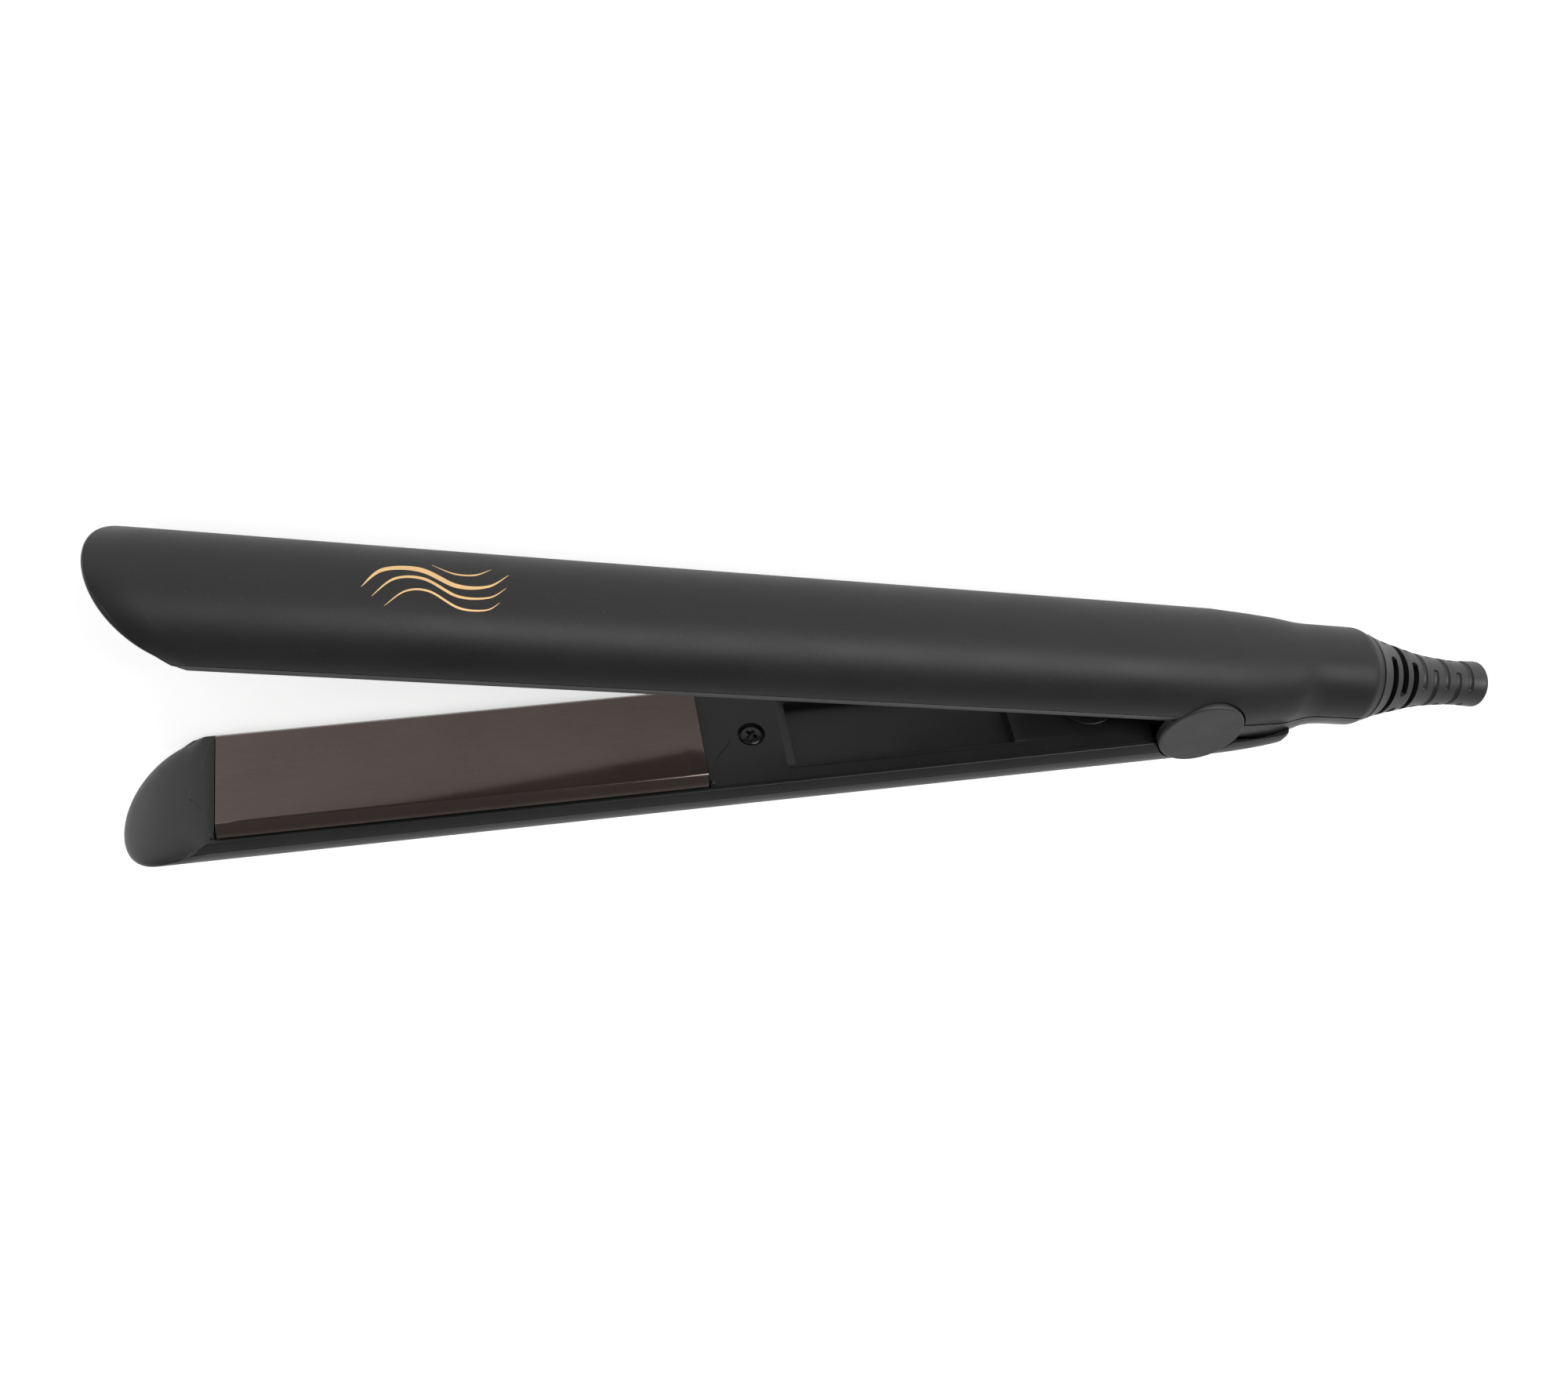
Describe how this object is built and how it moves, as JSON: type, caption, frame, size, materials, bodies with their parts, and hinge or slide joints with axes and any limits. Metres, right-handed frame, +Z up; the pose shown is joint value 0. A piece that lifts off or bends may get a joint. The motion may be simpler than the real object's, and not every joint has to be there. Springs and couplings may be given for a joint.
{
  "type": "flat iron",
  "caption": "Hand-held hair straightener with two hinged arms, floating heated plates, inner-face controls and a swivelling cord outlet.",
  "frame": {"origin": "on the hinge axis, at the outer face of the lower hinge cap, which is the plane the iron rests on when it lies on its side", "axes": "+Z up along the hinge axis; +X along the upper arm to the cord end; +Y into the back of the upper arm; the lower arm opens towards -Y"},
  "size_m": [0.3083, 0.0892, 0.0287],
  "materials": {
    "casing_black": "moulded PC/ABS with a soft matt coating",
    "cover_black": "glass-filled nylon, fine spark texture",
    "cap_black": "satin moulded disc",
    "plate_ceramic": "extruded aluminium with a dark brown ceramic coat, satin mirror",
    "heater_ceramic": "sintered ceramic heater wrapped in polyimide",
    "steel": "zinc-plated spring and sheet steel",
    "screw_black": "black-oxide steel",
    "brass": "bare brass",
    "nylon_white": "natural nylon",
    "mica": "mica laminate",
    "pcb_green": "solder-masked board",
    "component_black": "moulded component body",
    "pot_blue": "moulded potentiometer body",
    "capacitor_yellow": "film capacitor case",
    "terminal_green": "terminal block",
    "lens_red": "translucent indicator lens",
    "led_red": "LED body",
    "control_black": "satin-gloss control",
    "wire_brown": "silicone insulation",
    "wire_blue": "silicone insulation",
    "wire_white": "glass-braided silicone insulation",
    "fuse_white": "sleeved thermal fuse",
    "thermistor_brown": "glazed bead",
    "relief_rubber": "moulded PVC"
  },
  "bodies": {
    "upper_arm": {"upper_casing": "casing_black", "upper_inner_cover": "cover_black", "upper_front_screw": "screw_black", "upper_rear_screw": "screw_black", "upper_float_spring_front": "steel", "upper_float_spring_rear": "steel", "upper_heat_shield": "mica", "control_board": "pcb_green", "switch_housing": "control_black", "potentiometer": "pot_blue", "indicator_lens": "lens_red", "indicator_led": "led_red", "triac": "component_black", "filter_capacitor": "capacitor_yellow", "terminal_block": "terminal_green", "supply_wire_live": "wire_brown", "supply_wire_neutral": "wire_blue", "upper_heater_wire_live": "wire_white", "upper_heater_wire_neutral": "wire_white", "opening_spring": "steel", "hinge_pin": "steel", "hinge_washer_bottom": "nylon_white", "hinge_washer_top": "nylon_white", "hinge_cap_bottom": "cap_black", "hinge_cap_top": "cap_black", "swivel_bush": "nylon_white", "brush_contact_live": "brass", "brush_contact_neutral": "brass"},
    "lower_arm": {"lower_casing": "casing_black", "lower_inner_cover": "cover_black", "lower_front_screw": "screw_black", "lower_rear_screw": "screw_black", "lower_float_spring_front": "steel", "lower_float_spring_rear": "steel", "lower_heat_shield": "mica", "lower_heater_wire_live": "wire_white", "lower_heater_wire_neutral": "wire_white"},
    "upper_plate": {"upper_heat_plate": "plate_ceramic", "upper_heater": "heater_ceramic", "upper_heater_clamp": "steel", "upper_thermal_fuse": "fuse_white", "thermistor": "thermistor_brown"},
    "lower_plate": {"lower_heat_plate": "plate_ceramic", "lower_heater": "heater_ceramic", "lower_heater_clamp": "steel", "lower_thermal_fuse": "fuse_white"},
    "cord_outlet": {"strain_relief": "relief_rubber", "slip_ring_live": "brass", "slip_ring_neutral": "brass"},
    "rocker": {"switch_rocker": "control_black"},
    "dial": {"temperature_dial": "control_black"}
  },
  "joints": [
    {"name": "arm_hinge", "type": "hinge", "parent": "upper_arm", "child": "lower_arm", "pos_m": [0, 0, 0.01435], "axis": [0, 0, 1], "range_deg": [-13.7, 0], "stiffness_Nm_per_rad": 0.6, "springref_deg": 28.65, "deforming": ["opening_spring"]},
    {"name": "upper_plate_float", "type": "slide", "parent": "upper_arm", "child": "upper_plate", "axis": [0, 1, 0], "range_m": [0, 0.001], "stiffness_N_per_m": 1500, "springref_m": -0.002, "deforming": ["upper_float_spring_front", "upper_float_spring_rear"]},
    {"name": "lower_plate_float", "type": "slide", "parent": "lower_arm", "child": "lower_plate", "axis": [0.2368, -0.9715, 0], "range_m": [0, 0.001], "stiffness_N_per_m": 1500, "springref_m": -0.002, "deforming": ["lower_float_spring_front", "lower_float_spring_rear"]},
    {"name": "cord_swivel", "type": "hinge", "parent": "upper_arm", "child": "cord_outlet", "pos_m": [0.05, 0.00599, 0.01435], "axis": [1, 0, 0], "continuous": true},
    {"name": "switch_rock", "type": "hinge", "parent": "upper_arm", "child": "rocker", "pos_m": [-0.075, 0.00249, 0.01435], "axis": [0, 0, 1], "range_deg": [0, 16]},
    {"name": "dial_turn", "type": "hinge", "parent": "upper_arm", "child": "dial", "pos_m": [-0.05, 0, 0.01435], "axis": [0, 1, 0], "range_deg": [0, 270]}
  ]
}
